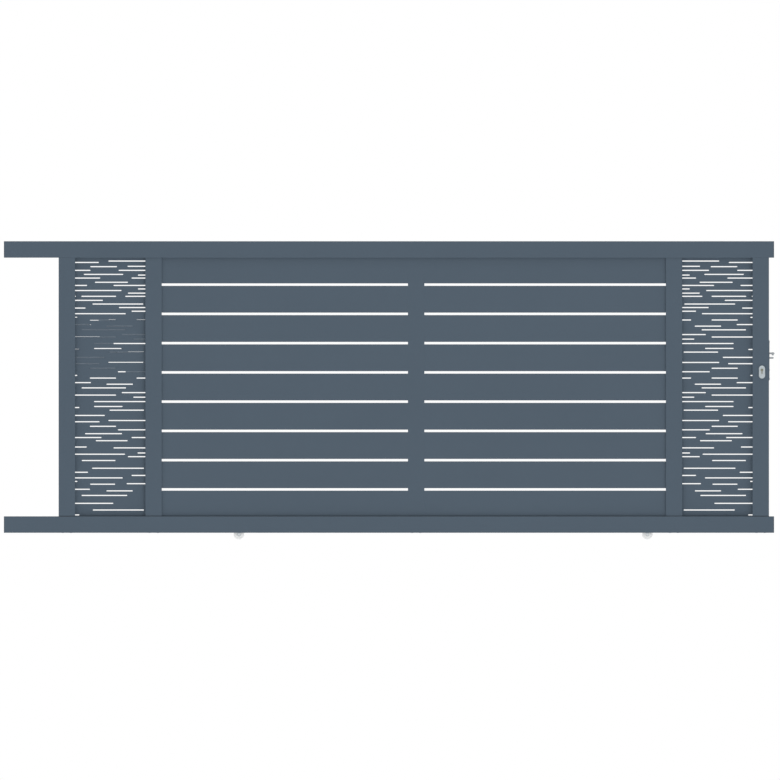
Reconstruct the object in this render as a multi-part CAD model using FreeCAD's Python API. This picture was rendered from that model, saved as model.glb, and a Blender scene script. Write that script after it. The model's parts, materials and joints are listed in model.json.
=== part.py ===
import FreeCAD, Part
import math
import os

# Sliding driveway gate: one leaf of hollow aluminium profiles, seen from its front (-Y) side.
# X runs along the gate, Y through it and Z up. Millimetres.
# The origin is on the flat underside of the bottom rail, at mid length and mid depth.

# Frame profiles
rail_height = 94.0
frame_depth = 50.0
rail_wall = 2.5
upright_width = 94.0
upright_wall = 2.0
inner_upright_setback = 5.0
profile_edge_radius = 1.5
centre_edge_radius = 0.3

# Layout of the leaf, from its tail (-X) to its nose (+X)
tail_length = 312.0
nose_length = 29.0
window_width = 400.0
left_bay_width = 1403.0
right_bay_width = 1376.0
infill_height = 1474.0

# Grooves that hold the infill
rail_groove_depth = 6.5
upright_groove_depth = 12.0
groove_side_play = 0.25

# End caps of the rails
cap_thickness = 4.0
cap_spigot_length = 12.0
cap_spigot_play = 0.3

# Boards
board_height = 153.0
board_thickness = 20.0
board_wall = 1.5
board_edge_radius = 1.5
board_gap_aim = 14.0

# Slotted sheets, with the cell in which their pattern is drawn
sheet_thickness = 3.0
slot_height = 6.0
slot_overrun = 6.0
cell_width = 400.0
cell_height = 1474.0
repeat_drop = 331.0
lap_top_drop = 341.0
lap_bottom_drop = 679.0

# Rows of slots as (drop below the top of the cell, left end, right end)
# An end at 0 or at cell_width runs on behind the frame.
first_rows = [
    (19, 190, 400),
    (27, 0, 135),
    (49, 299, 400),
    (51, 87, 238),
    (72, 0, 87),
    (72, 248, 400),
    (95, 50, 274),
    (99, 358, 400),
    (116, 0, 143),
    (116, 322, 400),
    (140, 113, 301),
    (158, 0, 68),
    (158, 219, 400),
    (178, 358, 400),
    (187, 0, 264),
    (202, 301, 400),
    (220, 0, 4),
    (220, 36, 233),
    (220, 286, 400),
    (243, 0, 158),
    (264, 99, 388),
    (284, 250, 400),
    (287, 0, 59),
    (305, 322, 400),
    (319, 0, 288),
    (340, 0, 12),
]
repeated_rows = [
    (355, 84, 233),
    (355, 350, 400),
    (381, 0, 90),
    (390, 179, 329),
    (411, 37, 290),
    (438, 266, 400),
    (452, 0, 233),
    (464, 332, 400),
    (489, 108, 400),
    (517, 108, 270),
    (523, 0, 24),
    (538, 196, 392),
    (568, 0, 169),
    (597, 190, 400),
    (604, 0, 139),
    (630, 84, 233),
    (650, 244, 400),
]
waist_row = (671, 0, 12)
lower_rows = [
    (1003, 57, 267),
    (1025, 0, 150),
    (1025, 322, 400),
    (1043, 118, 299),
    (1079, 0, 66),
    (1084, 219, 400),
    (1113, 356, 400),
    (1120, 0, 284),
    (1134, 301, 400),
    (1156, 38, 230),
    (1200, 97, 392),
    (1223, 0, 73),
    (1241, 322, 400),
    (1255, 0, 271),
    (1275, 0, 13),
    (1288, 294, 400),
    (1291, 86, 228),
    (1320, 0, 84),
    (1329, 179, 328),
    (1355, 37, 297),
    (1400, 0, 217),
    (1438, 101, 392),
    (1466, 0, 24),
]

# Wheels and what carries them
left_wheel_inset = 1028.0
right_wheel_inset = 693.0
wheel_radius = 30.0
wheel_drop = 9.0
wheel_width = 20.0
wheel_edge_chamfer = 1.0
track_bar_radius = 8.0
track_groove_depth = 6.0
hub_radius = 12.0
hub_play = 0.3
axle_radius = 4.0
axle_play = 0.05
axle_head_across_flats = 13.0
axle_head_thickness = 4.0
cheek_thickness = 3.0
cheek_width = 18.0
cheek_play = 0.5
carrier_plate_length = 90.0
carrier_plate_thickness = 4.0
moving_clearance = 5.0

# Lock, placed from the axis of its key plug
plug_height = 928.0
plug_backset = 40.0
plug_radius = 6.5
plug_play = 0.03
plug_length = 28.0
keyway_width = 2.6
keyway_height = 8.0
keyway_depth = 20.0
cylinder_round_radius = 8.5
cylinder_tongue_width = 10.0
cylinder_total_height = 33.0
cylinder_proud = 2.0
cylinder_play = 0.2
escutcheon_width = 36.0
escutcheon_height = 75.0
escutcheon_thickness = 7.0
escutcheon_edge_radius = 2.5
escutcheon_fall = 12.0
faceplate_length = 228.0
faceplate_width = 28.0
faceplate_thickness = 3.0
faceplate_corner_radius = 7.0
faceplate_rise = 55.0
case_wall = 1.5
case_depth = 60.0
case_below_plug = 38.0
case_play = 0.3

# Hook bolt and the finger under it
hook_rise = 95.0
hook_thickness = 6.0
hook_arm_height = 10.0
hook_pivot_setback = 17.0
hook_hub_radius = 8.0
hook_pin_radius = 4.0
hook_pin_play = 0.05
hook_hub_play = 0.3
hook_reach = 30.0
hook_throat = 12.0
hook_crown_rise = 1.5
hook_beak_drop = 14.0
finger_rise = 69.0
finger_radius = 5.0
finger_reach = 24.0
finger_flange_radius = 7.5
finger_flange_thickness = 3.0
finger_play = 0.1

# Places worked out from the sizes above
leaf_width = 5 * upright_width + 2 * window_width + left_bay_width + right_bay_width
overall_length = tail_length + leaf_width + nose_length
tail_end = -overall_length / 2
nose_end = overall_length / 2
left_stile_x = tail_end + tail_length
left_inner_x = left_stile_x + upright_width + window_width
centre_x = left_inner_x + upright_width + left_bay_width
right_inner_x = centre_x + upright_width + right_bay_width
lock_stile_x = right_inner_x + upright_width + window_width
lock_edge_x = lock_stile_x + upright_width
upright_foot = rail_height
upright_head = rail_height + infill_height
infill_foot = upright_foot - rail_groove_depth
infill_head = upright_head + rail_groove_depth
front = -frame_depth / 2
back = frame_depth / 2
board_groove_width = board_thickness + 2 * groove_side_play
inner_depth = frame_depth - 2 * inner_upright_setback
sheet_groove_width = 2 * (sheet_thickness + groove_side_play)

os.makedirs("parts", exist_ok=True)


def save(shape, name):
    """Write one sub-part to its own file."""
    shape.exportStep("parts/" + name + ".step")


def block(x_range, y_range, z_range):
    """A box between two values on each axis."""
    size = [high - low for low, high in (x_range, y_range, z_range)]
    corner = FreeCAD.Vector(x_range[0], y_range[0], z_range[0])
    return Part.makeBox(size[0], size[1], size[2], corner)


def round_long_edges(shape, axis, radius):
    """Round the edges of a box that run along one axis."""
    edges = [edge for edge in shape.Edges if abs(edge.tangentAt(edge.FirstParameter).dot(axis)) > 0.99]
    return shape.makeFillet(radius, edges)


def face_from_points(points):
    """A flat face inside a closed line through the points."""
    return Part.Face(Part.makePolygon(points + points[:1]))


# Directions
along_x = FreeCAD.Vector(1, 0, 0)
along_y = FreeCAD.Vector(0, 1, 0)
along_z = FreeCAD.Vector(0, 0, 1)


def make_rail(foot, groove_side):
    """A hollow rail whose groove is on its top (1) or on its bottom (-1)."""
    x_range = (tail_end + cap_thickness, nose_end - cap_thickness)
    head = foot + rail_height
    body = round_long_edges(block(x_range, (front, back), (foot, head)), along_x, profile_edge_radius)
    hollow = block(x_range, (front + rail_wall, back - rail_wall), (foot + rail_wall, head - rail_wall))
    half = board_groove_width / 2
    if groove_side > 0:
        groove_z = (head - rail_groove_depth, head)
        shell_z = (groove_z[0] - rail_wall, head)
    else:
        groove_z = (foot, foot + rail_groove_depth)
        shell_z = (foot, groove_z[1] + rail_wall)
    groove = block(x_range, (-half, half), groove_z)
    groove_shell = block(x_range, (-half - rail_wall, half + rail_wall), shell_z)
    return body.cut(hollow.cut(groove_shell)).cut(groove)


def make_cap(end_x, outward, foot, groove_side):
    """A plate over one end of a rail, with a spigot in the rail's hollow."""
    seat_x = end_x - outward * cap_thickness
    plate_x = sorted((end_x, seat_x))
    spigot_x = sorted((seat_x, seat_x - outward * cap_spigot_length))
    plate = block(plate_x, (front, back), (foot, foot + rail_height))
    plate = round_long_edges(plate, along_x, profile_edge_radius)
    inset = rail_wall + cap_spigot_play
    under_groove = rail_groove_depth + rail_wall + cap_spigot_play
    if groove_side > 0:
        spigot_z = (foot + inset, foot + rail_height - under_groove)
    else:
        spigot_z = (foot + under_groove, foot + rail_height - inset)
    return plate.fuse(block(spigot_x, (front + inset, back - inset), spigot_z)).removeSplitter()


def make_upright(left_x, depth, left_groove_width, right_groove_width):
    """A hollow upright with a groove of the given width on each side, or none where it is 0."""
    right_x = left_x + upright_width
    half_depth = depth / 2
    z_range = (upright_foot, upright_head)
    body = block((left_x, right_x), (-half_depth, half_depth), z_range)
    body = round_long_edges(body, along_z, profile_edge_radius)
    hollow = block(
        (left_x + upright_wall, right_x - upright_wall),
        (upright_wall - half_depth, half_depth - upright_wall),
        z_range,
    )
    grooves = []
    for edge_x, inward, width in ((left_x, 1, left_groove_width), (right_x, -1, right_groove_width)):
        if width == 0:
            continue
        half = width / 2
        groove_x = sorted((edge_x, edge_x + inward * upright_groove_depth))
        shell_x = sorted((edge_x, edge_x + inward * (upright_groove_depth + upright_wall)))
        grooves.append(block(groove_x, (-half, half), z_range))
        hollow = hollow.cut(block(shell_x, (-half - upright_wall, half + upright_wall), z_range))
    upright = body.cut(hollow)
    for groove in grooves:
        upright = upright.cut(groove)
    return upright


def make_centre_upright():
    """A flat hollow upright, flush with the boards, that stands in the grooves of both rails."""
    half = board_thickness / 2
    x_range = (centre_x, centre_x + upright_width)
    z_range = (infill_foot, infill_head)
    body = round_long_edges(block(x_range, (-half, half), z_range), along_z, centre_edge_radius)
    hollow = block(
        (x_range[0] + upright_wall, x_range[1] - upright_wall),
        (upright_wall - half, half - upright_wall),
        z_range,
    )
    return body.cut(hollow)


def make_board(x_range, foot):
    """A hollow board between two places along the gate."""
    half = board_thickness / 2
    body = block(x_range, (-half, half), (foot, foot + board_height))
    body = round_long_edges(body, along_x, board_edge_radius)
    hollow = block(
        x_range,
        (-half + board_wall, half - board_wall),
        (foot + board_wall, foot + board_height - board_wall),
    )
    return body.cut(hollow)


def slot_wire(left, right, middle_z):
    """The outline of one slot with round ends, in the XZ plane."""
    radius = slot_height / 2
    top = middle_z + radius
    bottom = middle_z - radius
    corners = [
        FreeCAD.Vector(left + radius, 0, top),
        FreeCAD.Vector(right - radius, 0, top),
        FreeCAD.Vector(right - radius, 0, bottom),
        FreeCAD.Vector(left + radius, 0, bottom),
    ]
    right_tip = FreeCAD.Vector(right, 0, middle_z)
    left_tip = FreeCAD.Vector(left, 0, middle_z)
    edges = [
        Part.LineSegment(corners[0], corners[1]).toShape(),
        Part.Arc(corners[1], right_tip, corners[2]).toShape(),
        Part.LineSegment(corners[2], corners[3]).toShape(),
        Part.Arc(corners[3], left_tip, corners[0]).toShape(),
    ]
    return Part.Wire(edges)


def make_slotted_sheet(window_x, mirrored, rows, y_range, z_range):
    """A flat sheet cut with rows of slots, held in the grooves beside one window."""
    x_range = (window_x - upright_groove_depth, window_x + window_width + upright_groove_depth)
    slots = []
    for drop, start, end in rows:
        left = start / cell_width * window_width if start > 0 else -slot_overrun
        right = end / cell_width * window_width if end < cell_width else window_width + slot_overrun
        if mirrored:
            left, right = window_width - right, window_width - left
        middle_z = upright_head - drop / cell_height * infill_height
        outline = slot_wire(window_x + left, window_x + right, middle_z)
        slot = Part.Face(outline).extrude(along_y * (y_range[1] - y_range[0]))
        slot.translate(along_y * y_range[0])
        slots.append(slot)
    return block(x_range, y_range, z_range).cut(slots)


def shift_rows(rows, drop):
    """The same rows, a given drop lower."""
    return [(row[0] + drop, row[1], row[2]) for row in rows]


def make_wheel(middle_x):
    """A wheel with a round groove in its tread and a hub between the cheeks."""
    hub_length = wheel_width + 2 * moving_clearance - 2 * hub_play
    start = FreeCAD.Vector(middle_x, -wheel_width / 2, -wheel_drop)
    rim = Part.makeCylinder(wheel_radius, wheel_width, start, along_y)
    rims = [edge for edge in rim.Edges if edge.Closed and abs(edge.Curve.Radius - wheel_radius) < 0.001]
    rim = rim.makeChamfer(wheel_edge_chamfer, rims)
    hub_start = FreeCAD.Vector(middle_x, -hub_length / 2, -wheel_drop)
    hub = Part.makeCylinder(hub_radius, hub_length, hub_start, along_y)
    bore = Part.makeCylinder(axle_radius + axle_play, hub_length, hub_start, along_y)
    ring_radius = wheel_radius + track_bar_radius - track_groove_depth
    middle = FreeCAD.Vector(middle_x, 0, -wheel_drop)
    track_groove = Part.makeTorus(ring_radius, track_bar_radius, middle, along_y)
    return rim.cut(track_groove).fuse(hub).removeSplitter().cut(bore)


def make_carrier(middle_x):
    """Two cheeks that hang from a plate under the groove of the bottom rail."""
    inner = wheel_width / 2 + moving_clearance
    outer = inner + cheek_thickness
    plate_top = rail_height - rail_groove_depth - rail_wall
    plate_z = (plate_top - carrier_plate_thickness, plate_top)
    plate_x = (middle_x - carrier_plate_length / 2, middle_x + carrier_plate_length / 2)
    carrier = block(plate_x, (-outer, outer), plate_z)
    cheek_x = (middle_x - cheek_width / 2, middle_x + cheek_width / 2)
    for low_y in (-outer, inner):
        strip = block(cheek_x, (low_y, low_y + cheek_thickness), (-wheel_drop, plate_z[0]))
        lug_centre = FreeCAD.Vector(middle_x, low_y, -wheel_drop)
        lug = Part.makeCylinder(cheek_width / 2, cheek_thickness, lug_centre, along_y)
        carrier = carrier.fuse(strip).fuse(lug)
    hole_start = FreeCAD.Vector(middle_x, -outer, -wheel_drop)
    hole = Part.makeCylinder(axle_radius + axle_play, 2 * outer, hole_start, along_y)
    return carrier.removeSplitter().cut(hole)


def make_axle(middle_x):
    """A pin through both cheeks with a six-sided head at each end."""
    outer = wheel_width / 2 + moving_clearance + cheek_thickness
    start = FreeCAD.Vector(middle_x, -outer, -wheel_drop)
    axle = Part.makeCylinder(axle_radius, 2 * outer, start, along_y)
    corner_radius = axle_head_across_flats / math.sqrt(3)
    for head_y in (-outer - axle_head_thickness, outer):
        points = []
        for corner in range(6):
            angle = math.radians(60 * corner)
            point_x = middle_x + corner_radius * math.cos(angle)
            point_z = -wheel_drop + corner_radius * math.sin(angle)
            points.append(FreeCAD.Vector(point_x, head_y, point_z))
        axle = axle.fuse(face_from_points(points).extrude(along_y * axle_head_thickness))
    return axle.removeSplitter()


def wheel_opening(middle_x):
    """The slot in the floor of the bottom rail for a wheel and its cheeks."""
    half_length = math.sqrt((wheel_radius + moving_clearance) ** 2 - wheel_drop**2)
    half_width = wheel_width / 2 + moving_clearance + cheek_thickness + cheek_play
    x_range = (middle_x - half_length, middle_x + half_length)
    return block(x_range, (-half_width, half_width), (0, rail_wall))


def upright_pill(middle_x, middle_z, low_y, width, height, depth):
    """An upright plate with round ends, facing along Y."""
    radius = width / 2
    half = height / 2 - radius
    left = middle_x - radius
    right = middle_x + radius
    edges = [
        Part.LineSegment(
            FreeCAD.Vector(left, low_y, middle_z - half), FreeCAD.Vector(left, low_y, middle_z + half)
        ).toShape(),
        Part.Arc(
            FreeCAD.Vector(left, low_y, middle_z + half),
            FreeCAD.Vector(middle_x, low_y, middle_z + height / 2),
            FreeCAD.Vector(right, low_y, middle_z + half),
        ).toShape(),
        Part.LineSegment(
            FreeCAD.Vector(right, low_y, middle_z + half), FreeCAD.Vector(right, low_y, middle_z - half)
        ).toShape(),
        Part.Arc(
            FreeCAD.Vector(right, low_y, middle_z - half),
            FreeCAD.Vector(middle_x, low_y, middle_z - height / 2),
            FreeCAD.Vector(left, low_y, middle_z - half),
        ).toShape(),
    ]
    return Part.Face(Part.Wire(edges)).extrude(along_y * depth)


# Lock places
plug_x = lock_edge_x - plug_backset
plate_middle_z = plug_height + faceplate_rise
hook_z = plug_height + hook_rise
hook_pivot_x = lock_edge_x - hook_pivot_setback
finger_z = plug_height + finger_rise
case_inner_half = hook_thickness / 2 + moving_clearance
case_outer_half = case_inner_half + case_wall
hook_radius = hook_pivot_setback + faceplate_thickness + hook_reach
bolt_slot_foot = hook_z - hook_arm_height / 2 - moving_clearance
bolt_slot_head = hook_z + math.sqrt((hook_radius + moving_clearance) ** 2 - hook_pivot_setback**2)
case_foot = plug_height - case_below_plug
case_head = hook_z + hook_radius + moving_clearance + case_wall
cylinder_half = frame_depth / 2 + escutcheon_thickness + cylinder_proud


def cylinder_profile(play, half_length):
    """The keyhole-shaped body of the lock cylinder, grown by a play all round."""
    low = FreeCAD.Vector(plug_x, -half_length, plug_height)
    barrel = Part.makeCylinder(cylinder_round_radius + play, 2 * half_length, low, along_y)
    half_tongue = cylinder_tongue_width / 2
    tongue_foot = plug_height + cylinder_round_radius - cylinder_total_height + half_tongue
    x_range = (plug_x - half_tongue - play, plug_x + half_tongue + play)
    tongue = block(x_range, (-half_length, half_length), (tongue_foot, plug_height))
    foot_low = FreeCAD.Vector(plug_x, -half_length, tongue_foot)
    tongue_end = Part.makeCylinder(half_tongue + play, 2 * half_length, foot_low, along_y)
    return barrel.fuse(tongue).fuse(tongue_end).removeSplitter()


def keyway(face_y, inward):
    """The narrow slot that takes a key."""
    y_range = sorted((face_y, face_y + inward * keyway_depth))
    x_range = (plug_x - keyway_width / 2, plug_x + keyway_width / 2)
    return block(x_range, y_range, (plug_height - keyway_height / 2, plug_height + keyway_height / 2))


def make_cylinder():
    """The fixed lock cylinder, bored for the key plug at the front."""
    body = cylinder_profile(0, cylinder_half)
    bore_start = FreeCAD.Vector(plug_x, -cylinder_half, plug_height)
    bore = Part.makeCylinder(plug_radius + plug_play, plug_length + plug_play, bore_start, along_y)
    return body.cut(bore).cut(keyway(cylinder_half, -1))


def make_key_plug():
    """The front plug that turns with the key."""
    start = FreeCAD.Vector(plug_x, -cylinder_half, plug_height)
    return Part.makeCylinder(plug_radius, plug_length, start, along_y).cut(keyway(-cylinder_half, 1))


def make_escutcheon(side):
    """A raised oval plate round the cylinder, on the front (-1) or the back (1)."""
    low_y = back if side > 0 else front - escutcheon_thickness
    outer_y = back + escutcheon_thickness if side > 0 else low_y
    middle_z = plug_height - escutcheon_fall
    plate = upright_pill(plug_x, middle_z, low_y, escutcheon_width, escutcheon_height, escutcheon_thickness)
    rim = [edge for edge in plate.Edges if all(abs(v.Point.y - outer_y) < 0.001 for v in edge.Vertexes)]
    plate = plate.makeFillet(escutcheon_edge_radius, rim)
    return plate.cut(cylinder_profile(cylinder_play, cylinder_half))


def make_lock_case():
    """A thin box, open at the faceplate, with a cross pin for the hook bolt."""
    outer = block(
        (lock_edge_x - case_depth, lock_edge_x), (-case_outer_half, case_outer_half), (case_foot, case_head)
    )
    inner = block(
        (lock_edge_x - case_depth + case_wall, lock_edge_x),
        (-case_inner_half, case_inner_half),
        (case_foot + case_wall, case_head - case_wall),
    )
    pin_start = FreeCAD.Vector(hook_pivot_x, -case_inner_half, hook_z)
    pin = Part.makeCylinder(hook_pin_radius, 2 * case_inner_half, pin_start, along_y)
    return outer.cut(inner).fuse(pin).cut(cylinder_profile(cylinder_play, cylinder_half))


def make_faceplate():
    """The upright plate on the edge of the lock stile, with the slot for the hook bolt."""
    plate = block(
        (lock_edge_x, lock_edge_x + faceplate_thickness),
        (-faceplate_width / 2, faceplate_width / 2),
        (plate_middle_z - faceplate_length / 2, plate_middle_z + faceplate_length / 2),
    )
    corners = [edge for edge in plate.Edges if abs(edge.tangentAt(edge.FirstParameter).dot(along_x)) > 0.99]
    plate = plate.makeFillet(faceplate_corner_radius, corners)
    slot = block(
        (lock_edge_x, lock_edge_x + faceplate_thickness),
        (-case_inner_half, case_inner_half),
        (bolt_slot_foot, bolt_slot_head),
    )
    hole_start = FreeCAD.Vector(lock_edge_x, 0, finger_z)
    hole = Part.makeCylinder(finger_radius + finger_play, faceplate_thickness, hole_start, along_x)
    return plate.cut(slot).cut(hole)


def make_hook_bolt():
    """A flat hook that turns on the cross pin of the lock case and ends in a turned-down beak."""
    plate_face = lock_edge_x + faceplate_thickness
    half_arm = hook_arm_height / 2
    beak_length = hook_reach - hook_throat
    outline = [
        (hook_pivot_x, half_arm),
        (plate_face + hook_throat, half_arm),
        (plate_face + hook_throat + beak_length / 3, half_arm + hook_crown_rise),
        (plate_face + hook_throat + beak_length * 2 / 3, half_arm),
        (plate_face + hook_reach, 0),
        (plate_face + hook_throat + beak_length * 3 / 4, -half_arm),
        (plate_face + hook_throat + beak_length / 2, -hook_beak_drop),
        (plate_face + hook_throat, -half_arm - hook_beak_drop / 3),
        (plate_face + hook_throat, -half_arm),
        (hook_pivot_x, -half_arm),
    ]
    points = [FreeCAD.Vector(x, -hook_thickness / 2, hook_z + z) for x, z in outline]
    blade = face_from_points(points).extrude(along_y * hook_thickness)
    hub_length = 2 * (case_inner_half - hook_hub_play)
    hub_start = FreeCAD.Vector(hook_pivot_x, -hub_length / 2, hook_z)
    hub = Part.makeCylinder(hook_hub_radius, hub_length, hub_start, along_y)
    bore = Part.makeCylinder(hook_pin_radius + hook_pin_play, hub_length, hub_start, along_y)
    return blade.fuse(hub).removeSplitter().cut(bore)


def make_finger():
    """The fixed round finger under the hook, with a flange behind the faceplate."""
    flange_start = FreeCAD.Vector(lock_edge_x - finger_flange_thickness, 0, finger_z)
    flange = Part.makeCylinder(finger_flange_radius, finger_flange_thickness, flange_start, along_x)
    shank_length = faceplate_thickness + finger_reach - finger_radius
    shank_start = FreeCAD.Vector(lock_edge_x, 0, finger_z)
    shank = Part.makeCylinder(finger_radius, shank_length, shank_start, along_x)
    nose = Part.makeSphere(finger_radius, FreeCAD.Vector(lock_edge_x + shank_length, 0, finger_z))
    return flange.fuse(shank).fuse(nose).removeSplitter()


# Rails and caps
left_wheel_x = left_stile_x + left_wheel_inset
right_wheel_x = lock_edge_x - right_wheel_inset
bottom_rail = make_rail(0, 1)
for wheel_x in (left_wheel_x, right_wheel_x):
    bottom_rail = bottom_rail.cut(wheel_opening(wheel_x))
save(bottom_rail, "bottom_rail")
save(make_rail(upright_head, -1), "top_rail")
for rail_name, rail_foot, rail_groove_side in (("bottom", 0, 1), ("top", upright_head, -1)):
    save(make_cap(tail_end, -1, rail_foot, rail_groove_side), rail_name + "_rail_tail_cap")
    save(make_cap(nose_end, 1, rail_foot, rail_groove_side), rail_name + "_rail_nose_cap")

# Uprights
save(make_upright(left_stile_x, frame_depth, 0, sheet_groove_width), "left_stile")
save(make_upright(left_inner_x, inner_depth, sheet_groove_width, board_groove_width), "left_inner_upright")
save(make_centre_upright(), "centre_upright")
save(make_upright(right_inner_x, inner_depth, board_groove_width, sheet_groove_width), "right_inner_upright")
case_hole = block(
    (lock_edge_x - upright_wall, lock_edge_x),
    (-case_outer_half - case_play, case_outer_half + case_play),
    (case_foot - case_play, case_head + case_play),
)
lock_stile = make_upright(lock_stile_x, frame_depth, sheet_groove_width, 0)
save(lock_stile.cut(case_hole).cut(cylinder_profile(cylinder_play, cylinder_half)), "lock_stile")

# Boards, each from the bottom of an inner upright's groove to the side of the centre upright
stack_height = infill_head - infill_foot
board_count = round((stack_height + board_gap_aim) / (board_height + board_gap_aim))
board_gap = (stack_height - board_count * board_height) / (board_count - 1)
left_board_x = (left_inner_x + upright_width - upright_groove_depth, centre_x)
right_board_x = (centre_x + upright_width, right_inner_x + upright_groove_depth)
for bay_name, board_x in (("left", left_board_x), ("right", right_board_x)):
    for number in range(board_count):
        board_foot = infill_foot + number * (board_height + board_gap)
        save(make_board(board_x, board_foot), bay_name + "_board_" + str(number + 1))

# Slotted sheets
sheet_rows = first_rows + repeated_rows + [waist_row] + shift_rows(repeated_rows, repeat_drop) + lower_rows
left_window_x = left_stile_x + upright_width
right_window_x = right_inner_x + upright_width
full_height = (infill_foot, infill_head)
front_layer = (-sheet_thickness, 0)
back_layer = (0, sheet_thickness)
save(make_slotted_sheet(left_window_x, False, sheet_rows, front_layer, full_height), "left_slotted_sheet")
save(make_slotted_sheet(right_window_x, True, sheet_rows, front_layer, full_height), "right_slotted_sheet")
lap_height = (
    upright_head - lap_bottom_drop / cell_height * infill_height,
    upright_head - lap_top_drop / cell_height * infill_height,
)
lap_rows = shift_rows(first_rows, repeat_drop)
save(make_slotted_sheet(left_window_x, False, lap_rows, back_layer, lap_height), "left_lap_sheet")

# Wheels
for side_name, wheel_x in (("left", left_wheel_x), ("right", right_wheel_x)):
    save(make_wheel(wheel_x), side_name + "_wheel")
    save(make_carrier(wheel_x), side_name + "_wheel_carrier")
    save(make_axle(wheel_x), side_name + "_axle")

# Lock
save(make_lock_case(), "lock_case")
save(make_faceplate(), "lock_faceplate")
save(make_hook_bolt(), "hook_bolt")
save(make_finger(), "guide_finger")
save(make_cylinder(), "lock_cylinder")
save(make_key_plug(), "key_plug")
save(make_escutcheon(-1), "front_escutcheon")
save(make_escutcheon(1), "back_escutcheon")
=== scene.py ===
import json
import math
import bmesh
import bpy
from mathutils import Euler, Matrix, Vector


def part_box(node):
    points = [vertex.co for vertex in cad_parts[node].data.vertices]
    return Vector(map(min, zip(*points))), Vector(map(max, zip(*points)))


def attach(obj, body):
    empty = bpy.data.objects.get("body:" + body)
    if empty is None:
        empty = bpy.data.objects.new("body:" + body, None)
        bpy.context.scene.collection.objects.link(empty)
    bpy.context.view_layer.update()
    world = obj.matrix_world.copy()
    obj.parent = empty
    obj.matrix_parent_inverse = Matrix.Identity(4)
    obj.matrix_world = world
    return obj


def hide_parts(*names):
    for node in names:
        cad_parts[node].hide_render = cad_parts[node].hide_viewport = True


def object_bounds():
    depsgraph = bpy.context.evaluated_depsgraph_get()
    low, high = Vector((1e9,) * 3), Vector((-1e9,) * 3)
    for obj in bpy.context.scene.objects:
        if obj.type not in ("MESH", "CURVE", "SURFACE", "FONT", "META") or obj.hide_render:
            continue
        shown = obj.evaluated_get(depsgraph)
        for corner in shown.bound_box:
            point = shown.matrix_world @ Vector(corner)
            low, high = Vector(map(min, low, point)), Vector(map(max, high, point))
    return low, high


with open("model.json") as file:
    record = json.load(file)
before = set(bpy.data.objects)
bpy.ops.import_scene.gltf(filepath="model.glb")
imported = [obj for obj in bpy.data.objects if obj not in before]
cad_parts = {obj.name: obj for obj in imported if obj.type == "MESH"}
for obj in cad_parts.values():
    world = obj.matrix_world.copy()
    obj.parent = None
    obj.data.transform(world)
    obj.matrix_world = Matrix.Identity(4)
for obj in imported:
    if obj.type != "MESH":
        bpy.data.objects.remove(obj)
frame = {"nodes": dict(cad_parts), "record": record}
nodes = frame["nodes"]
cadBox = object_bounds()

mm = 0.001


# Shader bricks

def screenColour(red, green, blue):
    # a colour as a screen shows it, 0 to 255, in the form a socket takes
    channels = [value / 255 for value in (red, green, blue)]
    linear = [v / 12.92 if v <= 0.04045 else ((v + 0.055) / 1.055) ** 2.4 for v in channels]
    return (*linear, 1.0)


def tinted(colour, share):
    return (colour[0] * share, colour[1] * share, colour[2] * share, 1.0)


def startMaterial(name):
    material = bpy.data.materials.new(name)
    material.use_nodes = True
    return material, material.node_tree, material.node_tree.nodes["Principled BSDF"]


def objectPoint(tree, stretch=(1, 1, 1)):
    place = tree.nodes.new("ShaderNodeTexCoord")
    mapping = tree.nodes.new("ShaderNodeMapping")
    mapping.inputs["Scale"].default_value = stretch
    tree.links.new(place.outputs["Object"], mapping.inputs["Vector"])
    return mapping.outputs["Vector"]


def noise(tree, point, size, detail=2.0):
    texture = tree.nodes.new("ShaderNodeTexNoise")
    texture.inputs["Scale"].default_value = 1 / size
    texture.inputs["Detail"].default_value = detail
    tree.links.new(point, texture.inputs["Vector"])
    return texture.outputs["Fac"]


def ringNoise(tree, size, detail=2.0):
    # rings round an axle, from the distance stored in the mesh
    distance = tree.nodes.new("ShaderNodeAttribute")
    distance.attribute_name = "fromAxle"
    texture = tree.nodes.new("ShaderNodeTexNoise")
    texture.noise_dimensions = "1D"
    texture.inputs["Scale"].default_value = 1 / size
    texture.inputs["Detail"].default_value = detail
    tree.links.new(distance.outputs["Fac"], texture.inputs["W"])
    return texture.outputs["Fac"]


def spread(tree, value, low, high, start=0.3, end=0.7):
    ramp = tree.nodes.new("ShaderNodeMapRange")
    tree.links.new(value, ramp.inputs["Value"])
    ramp.inputs["From Min"].default_value = start
    ramp.inputs["From Max"].default_value = end
    ramp.inputs["To Min"].default_value = low
    ramp.inputs["To Max"].default_value = high
    return ramp.outputs["Result"]


def together(tree, first, second, way="ADD"):
    result = tree.nodes.new("ShaderNodeMath")
    result.operation = way
    tree.links.new(first, result.inputs[0])
    tree.links.new(second, result.inputs[1])
    return result.outputs[0]


def blendColours(tree, share, first, second):
    mix = tree.nodes.new("ShaderNodeMix")
    mix.data_type = "RGBA"
    tree.links.new(share, mix.inputs[0])
    for value, socket in ((first, mix.inputs[6]), (second, mix.inputs[7])):
        if isinstance(value, bpy.types.NodeSocket):
            tree.links.new(value, socket)
        else:
            socket.default_value = value
    return mix.outputs[2]


def bump(tree, height, depth, under=None):
    relief = tree.nodes.new("ShaderNodeBump")
    relief.inputs["Distance"].default_value = depth
    tree.links.new(height, relief.inputs["Height"])
    if under is not None:
        tree.links.new(under, relief.inputs["Normal"])
    return relief.outputs["Normal"]


def upwardShare(tree, start):
    # 0 on walls, 1 on faces that look up
    geometry = tree.nodes.new("ShaderNodeNewGeometry")
    parts = tree.nodes.new("ShaderNodeSeparateXYZ")
    tree.links.new(geometry.outputs["Normal"], parts.inputs["Vector"])
    return spread(tree, parts.outputs["Z"], 0, 1, start, 1)


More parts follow.
